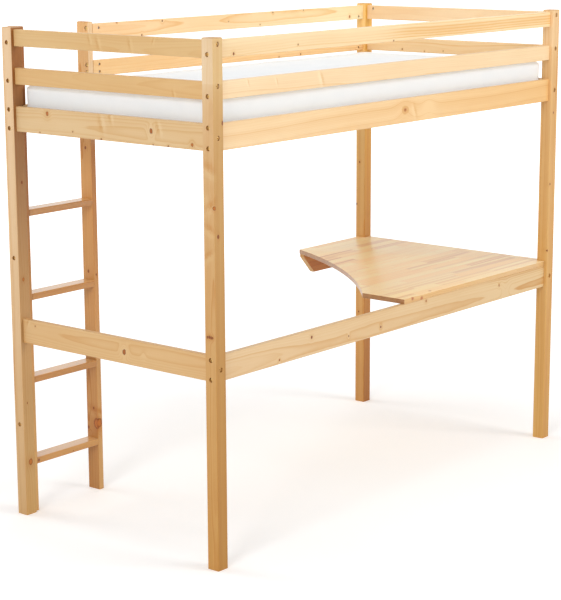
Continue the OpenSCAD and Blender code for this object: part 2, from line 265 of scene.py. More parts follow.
KNOT_RIM = srgb(112, 48, 6)
KNOT_YEAR = srgb(164, 84, 22)
KNOT_CORE = srgb(200, 122, 42)
PALE_RIM = srgb(222, 170, 104)
PALE_YEAR = srgb(216, 158, 92)
PALE_CORE = srgb(234, 184, 120)
KNOT_YEARS_PER_METRE = 520.0
KNOT_YEAR_PROFILE = ((0.0, 0.25), (0.7, 0.75), (1.0, 0.3))
KNOT_EDGE = (0.86, 1.10, 1.0, 0.0)  # in its radii, where the core ends
KNOT_RIM_FROM = (0.55, 1.0)
HEART_EDGE = (0.10, 0.55, 0.9, 0.0)
WAVER_PER_METRE = 160.0
# Each kind: how much darker the wood round it is, how far it bends the rings, how dark it is
KNOTS = {
    "knot": (0.45, 1.1, 0.0),
    "pin": (0.30, 1.1, 0.75),  # a small dark knot
    "halo": (-0.25, 1.7, 0.35),  # a knot in pale wood
    "big": (0.15, 1.3, 0.0),  # a big pale knot with a dark heart
    "swirl": (-0.25, 0.45, 0.0),  # bent rings without a core
}
SQUEEZE_LONG = 0.72  # on distances along the grain: a knot is longer than wide
SQUEEZE_SHORT = 1.25  # and in level pieces shorter
KNOT_REACH = 2.3  # how far a knot's surroundings reach, in its radii
KNOT_WAVER = 0.5
FLAME = 1.0  # strength of a flame, a pale and a dark streak across the grain
FLAME_SLANTS = (-0.3, 0.45)  # for even and for odd places across the grain
FLAME_WAVER = 0.7  # in its radii, as the next two
FLAME_WIDTH = 0.55
FLAME_LENGTH = 1.1
# From one depth to another under its face, in metres, a mark's strength at both
FLAME_DEPTH = (0.002, 0.020, 1.0, 0.0)
NEAR_DEPTH = (0.004, 0.030, 1.0, 0.0)
CORE_DEPTH = (0.004, 0.034, 0.0, 4.0)  # here what is added to the distance from its middle


def tinted(tone, by):
    """An sRGB tone multiplied channel by channel, kept below white."""
    return tuple(min(a * b, 0.97) for a, b in zip(srgb(*tone)[:3], by)) + (1.0,)


class Board:
    """A pine piece's axes, and a shading point's place in it in metres.

    along and across are the axes of its length and its width. u, v and w run along its length,
    through its thickness and across its width, the last two from its middle."""

    def __init__(self, t, nodes, per):
        low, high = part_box(nodes[0])
        size, middle = high - low, (low + high) / 2
        self.along, self.across, thin = sorted(range(3), key=lambda i: (-round(size[i], 4), i))
        self.p = t.split(t.point)
        self.u = self.p[self.along]
        self.v = t.minus(self.p[thin], middle[thin])
        self.w = t.minus(self.p[self.across], middle[self.across])
        if per is not None:
            self.divide(t, low[per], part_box(nodes[1])[0][per] - low[per], per)

    def divide(self, t, start, pitch, per):
        """Gives each piece of a row along the axis per its own grain."""
        index = t.calc("FLOOR", t.over(t.minus(self.p[per], start - ROW_MARGIN), pitch))
        own = t.white1(index)
        self.u = t.times_plus(index, ROW_STEP, self.u)
        self.w = t.times_plus(own, ROW_SPREAD, self.w)
        offset = t.times(index, pitch)
        if per == self.across:
            self.w = t.minus(self.w, offset)
        else:
            self.v = t.minus(self.v, offset)

    def run(self, t, start, end, smooth=False):
        """0 to 1 along the grain, between two places in mm from the frame's corner."""
        limits = place(start, self.along), place(end, self.along)
        return t.span(self.p[self.along], *limits, smooth=smooth)


def flame(t, du, dc, radius, slant, waver, depth):
    """A pale streak, below 0, and a dark one, above 0, side by side across the grain."""
    wavy = t.times_plus(waver, radius * FLAME_WAVER, du)
    lean = t.over(t.times_plus(dc, slant, wavy), radius * FLAME_WIDTH)
    reach = t.over(dc, radius * FLAME_LENGTH)
    away = t.plus(t.times(lean, lean), t.times(reach, reach))
    streak = t.times(lean, t.calc("EXPONENT", t.times(away, -1.0)))
    if depth is None:
        return streak
    return t.times(streak, t.span(depth, *FLAME_DEPTH))


def knot_marks(t, board, knots):
    """How far the knots bend the rings, how much they darken the wood, and their cores."""
    warp, shades, cores = None, [], []
    if not knots:
        return warp, shades, cores
    waver = t.minus(t.noise3(t.point, WAVER_PER_METRE, 1.0), 0.5)
    for along, across, size, kind, *face in knots:
        axis, depth = board.across, None
        if face:
            facing = "xyz".index(face[0])
            axis = 3 - board.along - facing
            depth = t.calc("ABSOLUTE", t.minus(board.p[facing], place(face[1], facing)))
        squeeze = SQUEEZE_LONG if board.along == 2 or kind == "big" else SQUEEZE_SHORT
        du = t.times(t.minus(board.p[board.along], place(along, board.along)), squeeze)
        dc = t.minus(board.p[axis], place(across, axis))
        radius = size / 1000
        if kind == "flame":
            shades.append((flame(t, du, dc, radius, FLAME_SLANTS[across % 2], waver, depth), FLAME))
            continue
        darker, bend, dark = KNOTS[kind]
        away = t.length(du, dc)
        inside = t.over(t.times_plus(waver, radius * KNOT_WAVER, away), radius)
        square = t.calc("POWER", t.over(away, KNOT_REACH * radius), 2.0)
        near = t.calc("EXPONENT", t.times(square, -1.0))
        if depth is not None:
            near = t.times(near, t.span(depth, *NEAR_DEPTH))
            inside = t.plus(inside, t.span(depth, *CORE_DEPTH))
        push = t.times(near, radius * bend)
        warp = push if warp is None else t.plus(warp, push)
        shades.append((near, darker))
        if kind != "swirl":
            cores.append((inside, away, kind, dark))
    return warp, shades, cores


def rings(t, board, seed, pith, ring, warp):
    """Growth rings round a wandering pith: the year's profile, each year's strength, the count."""
    us = t.plus(board.u, seed * FIGURE_STEP)
    slow, slower = PITH_PER_METRE
    strays = (t.noise1(us, slow), t.noise1(t.plus(us, PITH_APART), slower))
    from_pith = []
    for value, stray, wander, middle in zip((board.v, board.w), strays, PITH_WANDER, pith):
        from_pith.append(t.minus(value, t.times_plus(stray, wander, middle / 1000 - wander / 2)))
    radius = t.length(*from_pith)
    radius = t.plus(radius, t.spread(t.grain(us, board.v, board.w, TRUNK_PER_METRE), RING_WAVER))
    radius = t.plus(radius, t.times(board.u, TRUNK_TAPER))
    if warp is not None:
        radius = t.plus(radius, warp)
    count = t.over(radius, ring / 1000)
    late = t.ramp(t.calc("FRACT", count), YEAR)
    year = t.white1(t.plus(t.calc("FLOOR", count), seed))
    return late, t.times_plus(t.calc("POWER", year, YEAR_POWER), *YEAR_STRENGTH), count


def draw_core(t, colour, core):
    """A knot's core over the wood's colour."""
    inside, away, kind, dark = core
    rim, year, heart = KNOT_RIM, KNOT_YEAR, KNOT_CORE
    if kind == "big":
        rim, year, heart = PALE_RIM, PALE_YEAR, PALE_CORE
    years = t.calc("FRACT", t.times(away, KNOT_YEARS_PER_METRE))
    wood = t.mix(t.ramp(years, KNOT_YEAR_PROFILE), heart, year)
    drawn = t.mix(t.span(inside, *KNOT_RIM_FROM), wood, rim)
    if kind == "big":
        drawn = t.mix(t.span(inside, *HEART_EDGE), drawn, KNOT_YEAR)
    if dark:
        drawn = t.mix(dark, drawn, rim)
    return t.mix(t.span(inside, *KNOT_EDGE, smooth=True), colour, drawn)


def pine(nodes, seed, pith, tone, end=None, run=(0, 2000, 1.0), sides=None, painted_lit_top=None, ring=3.6,
         grain=0.6, stripes=None, knots=(), rough=0.42, coat=0.12, per=None, name=None):
    """Pine for CAD nodes, with its grain along their longest side.

    nodes: a node's name or a list of names. seed: a number that sets the figure.
    pith: the tree's middle in mm from the piece's middle, through its thickness and its width.
    tone: the mean colour, 0 to 255. end: the colour that it turns into over run.
    run: (from, to, power), places along the grain in mm from the frame's corner.
    sides: painted light and shade, what the colour is multiplied by on the front face, at both ends
    of run.
    cap: (from, to, by, by on the front face as well), an upper end painted lighter, standing in for
    the light that falls on it there.
    ring: a year's width in mm. grain: how strong the late wood is.
    stripes: (from, to), where strong grain sets in.
    knots: (along, across, radius, kind[, face axis, face]) in mm from the frame's corner; with a
    face, the knot is only near it. rough and coat: the varnish's roughness and weight.
    per: the axis of a row of nodes, each with its own grain."""
    nodes = [nodes] if isinstance(nodes, str) else nodes
    t = Material(name or "pine_" + nodes[0])
    board = Board(t, nodes, per)
    warp, shades, cores = knot_marks(t, board, knots)
    late, strength, count = rings(t, board, seed, pith, ring, warp)
    strength = t.times(strength, grain)
    bands = t.noise1(t.plus(t.times(count, BANDS_PER_YEAR), seed * BAND_STEP), 1.0)
    tones = t.spread(bands, BAND_TONE)
    if stripes:
        there = board.run(t, *stripes, smooth=True)
        strength = t.plus(strength, t.times(there, STRIPE_STRENGTH))
        tones = t.plus(tones, t.times(there, t.times_plus(bands, *STRIPE_BANDS)))
    us = t.plus(board.u, seed * FIBRE_STEP)
    fibres = t.grain(us, board.v, board.w, FIBRE_PER_METRE, *FIBRE_DETAIL)
    blotches = t.grain(us, board.v, board.w, BLOTCH_PER_METRE)
    dark = t.times_plus(late, strength, EARLY_TONE)
    for more in (tones, t.spread(fibres, FIBRE_TONE), t.spread(blotches, BLOTCH_TONE)):
        dark = t.plus(dark, more)
    for near, gain in shades:
        dark = t.plus(dark, t.times(near, gain))
    dark = t.plus(dark, 0.0, clamp=True)

    colour = t.mix(dark, tinted(tone, EARLY), tinted(tone, LATE))
    normal = t.split(t.normal)
    front = t.span(normal[1], *FRONT_FACE)
    if end or sides:
        along = board.run(t, *run[:2])
        if run[2] != 1.0:
            along = t.calc("POWER", along, run[2])
    if end:
        colour = t.mix(along, colour, t.mix(dark, tinted(end, EARLY), tinted(end, LATE)))
    # Painted light and shade: the front face made darker or lighter, changing along run
    if sides:
        colour = t.tint(front, colour, t.mix(along, *(by + (1.0,) for by in sides)))
    # Painted light: the upper end made lighter, as if lit, most of all on the front face
    if painted_lit_top:
        start, stop, by, front_by = painted_lit_top
        on_front = tuple(x * y for x, y in zip(by, front_by))
        by = t.mix(front, by + (1.0,), on_front + (1.0,))
        colour = t.tint(board.run(t, start, stop, smooth=True), colour, by)
    for core in cores:
        colour = draw_core(t, colour, core)
    end_face = t.span(t.calc("ABSOLUTE", normal[board.along]), *END_FACE)
    colour = t.tint(t.times(end_face, END_TONE), colour, END_GRAIN)

    pores = t.grain(us, board.v, board.w, PORE_PER_METRE)
    roughness = t.times_plus(pores, PORE_ROUGHNESS, rough - PORE_ROUGHNESS / 2)
    roughness = t.plus(roughness, t.times(end_face, END_ROUGHNESS))
    t.set_shader(Base_Color=colour, Roughness=roughness, Coat_Weight=coat, Coat_Roughness=0.16,
                 Specular_IOR_Level=0.3)
    t.bump(t.plus(t.times(late, 0.6), t.times(pores, 0.5)), *PORE_BUMP)
    for node in nodes:
        materials = NODES[node].data.materials
        materials.clear()
        materials.append(t.owner)


DOWN = (1620, 0, 0.30)  # posts turn from pale at the top to orange towards the floor, partly their wood's tone and partly painted shade where less light reaches the feet

# The posts' front faces carry painted light and shade. The rear left one's is painted dark at the
# top, in the bed's shade, and each post's darker tone towards the floor is partly painted shade.
pine("post_front_left", 1, (-14, 30), (224, 193, 150), end=(195, 143, 71), run=DOWN,
     sides=((0.9, 0.83, 0.62), (0.8, 0.73, 0.53)), ring=3.0, grain=0.6,
     knots=((1130, 17, 5, "pin", "y", 0), (1494, 44, 5, "pin", "y", 0),
            (797, 37, 3.4, "pin", "x", 0), (798, 29, 4.0, "pin", "x", 0),
            (797, 21, 4.0, "pin", "x", 0), (797, 14, 3.0, "pin", "x", 0),
            (1224, 2, 5, "knot", "y", 0), (1246, 30, 7, "swirl", "x", 0),
            (1344, 24, 26, "flame", "x", 0), (1228, 15, 22, "flame", "x", 0),
            (1148, 22, 20, "flame", "x", 0), (1062, 29, 18, "flame", "x", 0)))
pine("post_rear_left", 2, (20, -34), (228, 194, 151), end=(198, 157, 103), run=(1620, 0, 1.0),
     sides=((0.38, 0.2, 0.07), (0.95, 0.92, 0.75)), ring=3.3, grain=0.55,
     knots=((1222, 28, 4, "pin", "y", 932), (875, 20, 5, "knot", "y", 932),
            (420, 19, 2.4, "pin", "y", 932), (198, 26, 9, "knot", "y", 932)))
pine("post_front_right", 3, (30, 22), (233, 195, 144), end=(207, 159, 87), run=DOWN,
     sides=((0.96, 0.92, 0.84), (0.91, 0.82, 0.62)), ring=3.6, grain=0.6,
     knots=((1356, 2052, 3.4, "pin", "y", 0), (1068, 2040, 3.6, "pin", "y", 0),
            (795, 2034, 3.0, "pin", "y", 0), (1480, 2034, 3, "pin", "x", 2032)))
pine("post_rear_right", 4, (-22, -30), (246, 198, 122), end=(198, 143, 78), run=(1620, 0, 0.8),
     sides=((0.88, 0.76, 0.4), (0.64, 0.48, 0.26)), ring=3.1, grain=0.7,
     knots=((1080, 960, 3.4, "pin", "x", 2032), (894, 975, 3.4, "pin", "x", 2032),
            (411, 962, 3.2, "pin", "x", 2032)))

# Ladder
# Painted shade and light on the stiles: the left one's front face is dark at the top under the bed.
# The right one is darker below the bed and painted lighter above it.
pine("ladder_stile_left", 5, (46, 10), (214, 168, 112), end=(208, 160, 98), run=(1400, 200, 1.0),
     sides=((0.55, 0.34, 0.19), (1.04, 1.05, 1.0)), ring=3.0)
pine("ladder_stile_right", 6, (-40, 16), (206, 151, 86), end=(176, 124, 66), run=(1620, 0, 1.0),
     sides=((0.68, 0.46, 0.33), (1.3, 1.56, 2.05)), ring=3.2, grain=0.7,
     painted_lit_top=(1300, 1440, (1.29, 1.47, 1.95), (1.5, 2.65, 5.0)),
     knots=((844, 975, 4.5, "pin", "x", 384), (1306, 974, 4.5, "pin", "x", 384),
            (833, 395, 3, "pin", "y", 945), (260, 951, 15, "knot", "x", 384),
            (238, 996, 5, "pin", "x", 384), (262, 392, 13, "knot", "y", 945),
            (304, 972, 24, "flame"), (300, 395, 15, "flame", "y", 945),
            (318, 966, 4, "pin", "x", 384)))
# The rungs' front faces are painted darker than their tops, as painted shade
pine("ladder_rung_1", 7, (40, 4), (214, 166, 106), sides=((0.79, 0.64, 0.36),) * 2, ring=3.0,
     rough=0.34, coat=0.8,
     knots=((78, 190, 5.5, "pin", "y", 945), (252, 184, 2.2, "pin", "y", 945)))
pine(["ladder_rung_%d" % i for i in (2, 3, 4)], 8, (40, 4), (217, 169, 108),
     sides=((0.66, 0.49, 0.22),) * 2, rough=0.34, coat=0.8, per=2, name="pine_ladder_rungs")

# Left end
pine("left_top_guard", 11, (58, -20), (213, 173, 115), grain=0.4,
     knots=((268, 1743, 9, "flame"), (372, 1728, 16, "flame"), (520, 1726, 18, "flame"),
            (560, 1736, 14, "flame")))
pine("left_low_guard", 12, (70, 12), (214, 172, 113), grain=0.45, ring=3.8,
     knots=((180, 1576, 12, "flame"),))
pine("left_end_board", 13, (66, -8), (215, 180, 129), ring=4.4, grain=0.75,
     knots=((776, 1476, 8, "knot"), (285, 1451, 9, "halo"), (104, 1419, 6, "knot"),
            (815, 1408, 3, "pin"), (652, 1422, 3, "pin"), (516, 1406, 4, "pin"),
            (209, 1406, 4, "pin"), (277, 1406, 3, "pin"), (512, 1460, 26, "flame"),
            (470, 1484, 18, "flame"), (250, 1462, 20, "flame")))
pine("left_cross_rail", 14, (62, 14), (212, 171, 115), ring=3.9, grain=0.85,
     knots=((431, 686, 10, "halo"), (340, 688, 7, "swirl"), (871, 714, 3, "pin"),
            (905, 723, 13, "flame")))

# Front
pine("front_top_guard", 21, (62, 60), (240, 210, 161), end=(247, 214, 162), ring=6.4, grain=0.35,
     stripes=(850, 1150),
     knots=((442, 1719, 3, "pin"), (116, 1708, 5, "pin"), (980, 1701, 4, "pin")))
pine("front_low_guard", 22, (70, -50), (241, 209, 162), end=(237, 204, 155), ring=3.8, grain=0.3,
     knots=((567, 1597, 20, "flame"), (184, 1613, 11, "flame"), (330, 1605, 10, "flame")))
pine("front_side_board", 23, (60, 68), (238, 203, 153), end=(230, 183, 117), ring=4.4, grain=0.35,
     knots=((1054, 1450, 16, "big"), (1200, 1455, 24, "swirl"), (1112, 1441, 20, "flame"),
            (1950, 1496, 3, "pin")))
pine("front_cross_rail", 24, (70, -16), (219, 184, 136), end=(212, 176, 123), ring=4.2, grain=0.5,
     stripes=(1560, 1700),
     knots=((513, 707, 6, "pin"), (915, 673, 5, "pin"), (338, 659, 4, "pin"), (724, 673, 4, "pin"),
            (1199, 722, 5, "knot"), (1698, 702, 5, "knot"), (1745, 680, 16, "swirl")))

# Rear
pine("rear_top_guard", 31, (60, 10), (242, 193, 138), end=(252, 224, 174), ring=3.7,
     knots=((1428, 1753, 4, "pin"), (1625, 1754, 3, "pin"), (1347, 1708, 3, "pin"),
            (1937, 1713, 6, "knot"), (1156, 1729, 2.5, "pin"), (776, 1750, 4, "pin"),
            (533, 1755, 3, "pin"), (664, 1703, 4, "pin")))
pine("rear_low_guard", 32, (66, 16), (246, 202, 143), ring=3.7,
     knots=((1348, 1594, 2.6, "pin"), (1466, 1572, 3, "pin"), (1605, 1574, 4, "pin"),
            (1509, 1593, 2.2, "pin")))
pine("rear_side_board", 33, (70, 0), (238, 202, 150), ring=4.1)
# Its front face is painted dark, as painted shade under the desk top
pine("desk_rear_rail", 34, (64, -10), (224, 184, 126), sides=((0.56, 0.3, 0.09),) * 2, ring=3.8,
     grain=0.7)

# Right end
pine("right_top_guard", 41, (60, 8), (244, 209, 162), ring=3.7, grain=0.4)
pine("right_low_guard", 42, (60, -14), (235, 200, 149), ring=3.7, grain=0.4,
     knots=((746, 1578, 3.6, "pin"), (631, 1574, 2.6, "pin"), (536, 1579, 2.6, "pin")))
pine("right_end_board", 43, (72, 14), (240, 206, 158), ring=4.2,
     knots=((420, 1450, 8, "knot"),))
pine("right_cross_rail", 44, (70, 4), (230, 192, 142), ring=4.0)

# Bed base, planed and left bare
pine(["slat_ledger_front", "slat_ledger_rear"], 51, (40, 20), (228, 202, 156), rough=0.62, coat=0.0,
     name="pine_ledgers")
pine(["slat_%d" % i for i in range(1, 16)], 52, (50, 10), (232, 206, 162), rough=0.62, coat=0.0,
     per=0, name="pine_slats")

# ---- Desk top: finger-jointed staves -------------------------------------------------------

STAVE = 0.0434  # width of a stave in metres
DESK_FRONT = 0.4885  # from the desk's front edge to the origin
DESK_MIDDLE_Z = 0.741
FINGERS_PER_METRE = 230.0
FINGER_DEPTH = 0.009
STAVE_RING = 0.0034
JOINT_LINE = 0.0007  # how wide the line of a joint is, beside a stave and at its end
END_LINE = 0.0009
STAVE_LENGTH = (0.20, 0.24)  # the spread and the least, in metres
STAVE_SPREAD = 0.09  # the width in which a stave's pith may lie
# Colours of early and of late wood
DESK_TONES = (srgb(255, 234, 184), srgb(252, 194, 122))
DEEPER_TONES = (srgb(255, 214, 154), srgb(238, 168, 102))
SIDE_TONES = (srgb(224, 176, 106), srgb(190, 128, 62))
END_TONES = (srgb(180, 120, 66), srgb(90, 46, 18))
PINK = srgb(216, 156, 112)
JOINT_COLOUR = srgb(150, 98, 58)
DESK_KNOT_COLOUR = srgb(176, 92, 48)
# Knots at the front edge: (x, y, z, radius) in mm from the frame's corner
DESK_KNOTS = ((1112, 13, 746, 8), (1170, 13, 737, 9), (1251, 33, 750, 7))


def staves(t, p, y):
    """Where a point is across its row and from its stave's end, and the stave's random numbers."""
    row = t.calc("FLOOR", t.over(y, STAVE))
    row_part = t.calc("FRACT", t.over(y, STAVE))
    row_start = t.white1(t.plus(row, 3.7))
    length = t.times_plus(t.white1(t.plus(row, 11.1)), *STAVE_LENGTH)
    fingers = t.times(t.calc("PINGPONG", t.times(y, FINGERS_PER_METRE), 1.0), FINGER_DEPTH)
    x = t.over(t.plus(t.plus(p[0], fingers), t.times(row_start, 3.0)), length)
    column = t.calc("FLOOR", x)
    to_end = t.times(t.calc("PINGPONG", x, 0.5), length)
    tone, colour = t.white3(t.xyz(row, column, 4.0))
    return row_part, to_end, tone, t.split(colour)


def desk_material():
    """Staves side by side with finger joints, each stave with its own tone and grain."""
    t = Material("pine_desk_staves")
    p = t.split(t.point)
    y = t.plus(p[1], DESK_FRONT)
    row_part, to_end, tone, own = staves(t, p, y)
    u = t.times_plus(own[0], 9.0, p[0])
    v = t.minus(p[2], DESK_MIDDLE_Z)
    w = t.times(t.minus(row_part, 0.5), STAVE)
    radius = t.length(t.minus(v, t.spread(own[1], STAVE_SPREAD)),
                      t.minus(w, t.spread(own[2], STAVE_SPREAD)))
    radius = t.plus(radius, t.spread(t.grain(u, v, w, (8.0, 40.0)), 0.006))
    radius = t.plus(radius, t.times(u, 0.008))
    count = t.over(radius, STAVE_RING)
    late = t.ramp(t.calc("FRACT", count), YEAR)
    bands = t.noise1(t.times(count, 0.24), 1.0)
    fibres = t.grain(u, y, v, (7.0, 420.0), *FIBRE_DETAIL)
    dark = t.times_plus(late, 0.45, t.times_plus(bands, 0.5, -0.2))
    dark = t.plus(dark, t.times_plus(fibres, 0.5, -0.20), clamp=True)

    base = t.mix(dark, *DESK_TONES)
    base = t.mix(t.span(tone, 0.35, 0.9, 0.0, 0.65), base, t.mix(dark, *DEEPER_TONES))
    pink = t.times(t.span(own[1], 0.72, 0.86), t.span(bands, 0.4, 0.7))
    base = t.mix(t.times(pink, 0.8), base, PINK)
    seam = t.times(t.calc("MINIMUM", row_part, t.minus(1.0, row_part)), STAVE)
    line = t.calc("MAXIMUM", t.span(seam, 0.0, JOINT_LINE, 1.0, 0.0),
                  t.span(to_end, 0.0, END_LINE, 1.0, 0.0))
    base = t.mix(t.times(line, 0.35), base, JOINT_COLOUR)

    normal = t.split(t.normal)
    end_face = t.span(t.calc("ABSOLUTE", normal[0]), 0.35, 0.75)
    end_dark = t.times_plus(late, 0.7, t.times_plus(bands, 0.6, -0.15))
    base = t.mix(t.times(end_face, 0.9), base, t.mix(end_dark, *END_TONES))
    upright = t.span(t.calc("ABSOLUTE", normal[2]), 0.3, 0.7, 1.0, 0.0)
    side_face = t.times(upright, t.minus(1.0, end_face))
    base = t.mix(t.times(side_face, 0.7), base, t.mix(dark, *SIDE_TONES))
    for *where, size in DESK_KNOTS:
        middle = at(*where)
        away = t.length(*(t.minus(p[i], middle[i]) for i in range(3)))
        near = t.span(away, size * 0.0006, size * 0.0012, 0.8, 0.0)
        base = t.mix(near, base, DESK_KNOT_COLOUR)

    pores = t.grain(u, y, v, PORE_PER_METRE)
    t.set_shader(Base_Color=base, Roughness=t.times_plus(pores, PORE_ROUGHNESS, 0.30),
                 Coat_Weight=0.2, Coat_Roughness=0.30, Specular_IOR_Level=0.35)
    grooves = t.minus(t.times_plus(late, 0.4, t.times(pores, 0.4)), t.times(line, 1.2))
    t.bump(grooves, *PORE_BUMP)
    return t.owner


# ---- Making pieces -------------------------------------------------------------------------

SMOOTH_BELOW = math.radians(35)  # faces that meet at less are shaded as one surface


def add_object(name, data):
    """A new object in the scene, with the given mesh, lamp or camera."""
    obj = bpy.data.objects.new(name, data)
    bpy.context.scene.collection.objects.link(obj)
    return obj


def mesh_object(name, bm, material=None):
    """A new object with the form in bm, which is freed."""
    mesh = bpy.data.meshes.new(name)
    bm.to_mesh(mesh)
    bm.free()
    if material:
        mesh.materials.append(material)
    return add_object(name, mesh)


def bake(obj):
    """Applies an object's modifiers to its mesh."""
    graph = bpy.context.evaluated_depsgraph_get()
    mesh = bpy.data.meshes.new_from_object(obj.evaluated_get(graph))
    old = obj.data
    obj.modifiers.clear()
    obj.data = mesh
    bpy.data.meshes.remove(old)


def smooth_faces(obj):
    obj.data.polygons.foreach_set("use_smooth", [True] * len(obj.data.polygons))


def shade(obj):
    """Smooth faces, but for the edges at which they meet sharply."""
    smooth_faces(obj)
    bm = bmesh.new()
    bm.from_mesh(obj.data)
    for edge in bm.edges:
        edge.smooth = len(edge.link_faces) == 2 and edge.calc_face_angle(0.0) < SMOOTH_BELOW
    bm.to_mesh(obj.data)
    bm.free()
    obj.data.update()


def eased_desk():
    """The desk top's CAD form with its sharp edges eased."""
    bm = bmesh.new()
    bm.from_mesh(NODES["desk_top"].data)
    bmesh.ops.remove_doubles(bm, verts=bm.verts, dist=1e-6)
    bmesh.ops.dissolve_limit(bm, angle_limit=math.radians(0.4), verts=bm.verts, edges=bm.edges)
    obj = mesh_object("desk_top_eased", bm, desk_material())
    ease = obj.modifiers.new("ease", "BEVEL")
    ease.width = 0.0014
    ease.segments = 3
    ease.limit_method = "ANGLE"
    ease.angle_limit = math.radians(40)
    bake(obj)
    shade(obj)
    return obj


desk = eased_desk()
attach(desk, "frame")
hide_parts("desk_top")


# ---- Metal fittings ------------------------------------------------------------------------


def metal(name, base, dark, rough):
    t = Material(name)
    spots = t.noise3(t.point, 420.0, 3.0, 0.6)
    t.set_shader(Base_Color=t.mix(t.span(spots, 0.35, 0.7), srgb(*base), srgb(*dark)),
                 Roughness=t.times_plus(spots, 0.2, rough), Metallic=1.0)
    t.bump(spots, 0.15, 0.0001)
    return t.owner


ZINC = metal("zinc_yellow", (236, 208, 146), (200, 162, 98), 0.32)
STEEL = metal("zinc_bright", (206, 210, 214), (170, 174, 180), 0.26)

SIDES = 24  # of a turned piece
UP = Vector((0, 0, 1))
BACK = Vector((0, 1, 0))


def radii(shape, radius):
    """The radii of one ring of a turned piece: round, a hexagon or a cross."""
    found = []
    for i in range(SIDES):
        angle = 2 * math.pi * i / SIDES
        if shape == "hex":
            turn = (angle + math.pi / 6) % (math.pi / 3) - math.pi / 6
            found.append(radius / math.cos(turn))
        elif shape == "cross":
            turn = (angle + math.pi / 4) % (math.pi / 2) - math.pi / 4
            found.append(radius if abs(turn) < 0.2 else radius * 0.36)
        else:
            found.append(radius)
    return found


def turned(bm, origin, axis, profile):
    """A closed turned piece: profile is a list of (shape, radius, distance along the axis), mm."""
    axis = Vector(axis).normalized()
    e1 = axis.cross(UP if abs(axis.dot(UP)) < 0.9 else BACK).normalized()
    e2 = axis.cross(e1)
    before = None
    for shape, radius, distance in profile:
        centre = origin + axis * (distance / 1000)
        if radius == 0:
            ring = [bm.verts.new(centre)]
        else:
            ring = []
            for i, r in enumerate(radii(shape, radius)):
                angle = 2 * math.pi * i / SIDES
                outwards = e1 * math.cos(angle) + e2 * math.sin(angle)
                ring.append(bm.verts.new(centre + outwards * (r / 1000)))
        if before:
            for i in range(SIDES):
                j = (i + 1) % SIDES
                quad = [before[i % len(before)], before[j % len(before)],
                        ring[j % len(ring)], ring[i % len(ring)]]
                bm.faces.new(list(dict.fromkeys(quad)))
        before = ring


def fitting(name, bm, material, node=None):
    """Metal pieces in one object, which rides on the frame and may stand for a CAD node."""
    bmesh.ops.recalc_face_normals(bm, faces=bm.faces)
    obj = mesh_object(name, bm, material)
    shade(obj)
    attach(obj, "frame")
    if node:
        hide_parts(node)


HEAD_RADIUS = 6.75
HEAD_HEIGHT = 4
SINK_POST = 9  # depth of a head's seat
SINK_STILE = 7


def bolt_profile(sink, reach):
    """A connector bolt with a hexagon socket: its head ends at sink and its shank at reach, mm."""
    top, r = sink - HEAD_HEIGHT, HEAD_RADIUS
    shank = [("o", 0, reach), ("o", 2.2, reach), ("o", 3, reach - 1), ("o", 3, sink)]
    head = [("o", r - 0.15, sink), ("o", r, sink - 0.3), ("o", r, top + 1.3),
            ("o", r - 0.3, top + 0.6), ("o", r - 1.0, top + 0.12), ("o", r - 1.6, top)]
    socket = [("hex", 2.5, top), ("hex", 2.3, top + 0.25), ("hex", 2.3, top + 2.6),
              ("o", 0, top + 3.1)]
    return shank + head + socket


SLEEVE_NUT = [("o", 0, -12), ("o", 3.7, -12), ("o", 4, -11.6), ("o", 4, 0), ("o", 6.3, 0),
              ("o", 6.5, 0.3), ("o", 6.5, 1.4), ("o", 6.0, 1.9), ("o", 5.4, 2), ("hex", 2.5, 2),
              ("hex", 2.3, 1.8), ("hex", 2.3, -0.6), ("o", 0, -1.0)]

# Heights of the connectors in mm
GUARD_LONG = [1580, 1712]
BOARD_LONG = [1414, 1480]
CROSS_LONG = [655, 721]
END_Z = [1612, 1744, 1447, 688]
PAIR_Z = [340, 952] + GUARD_LONG
STILE_Z = [1582.6, 1609.4, 1714.6, 1741.4]
LONG_Z = GUARD_LONG + BOARD_LONG + CROSS_LONG
# Each corner: its side in x, its side in y, the heights of the connectors along x
CORNERS = {"front_left": (0, 0, LONG_Z), "front_right": (1, 0, LONG_Z),
           "rear_left": (0, 1, BOARD_LONG), "rear_right": (1, 1, LONG_Z)}
FRAME_LENGTH = 2080
FRAME_WIDTH = 980
POST_MIDDLE = 24
NUT_INSET = 79  # from a post's outer face
BOLT_REACH = 86
LADDER_Y = 956  # middle of the stiles and of the rear guards
PAIR_MEETS_X = 70  # where a bolt of the left stile meets its sleeve nut
STILE_FACE_X = 384  # the right stile's inner face
STILE_NUT_X = 439
STILE_REACH = 62

NUT_RADIUS = 5
NUT_HALF = 7.0
SLOT_EDGE = (0.8, 4.93)  # where the slot's wall meets the nut's round side
SLOT_DEPTH = 1.6
ARC_STEPS = 9


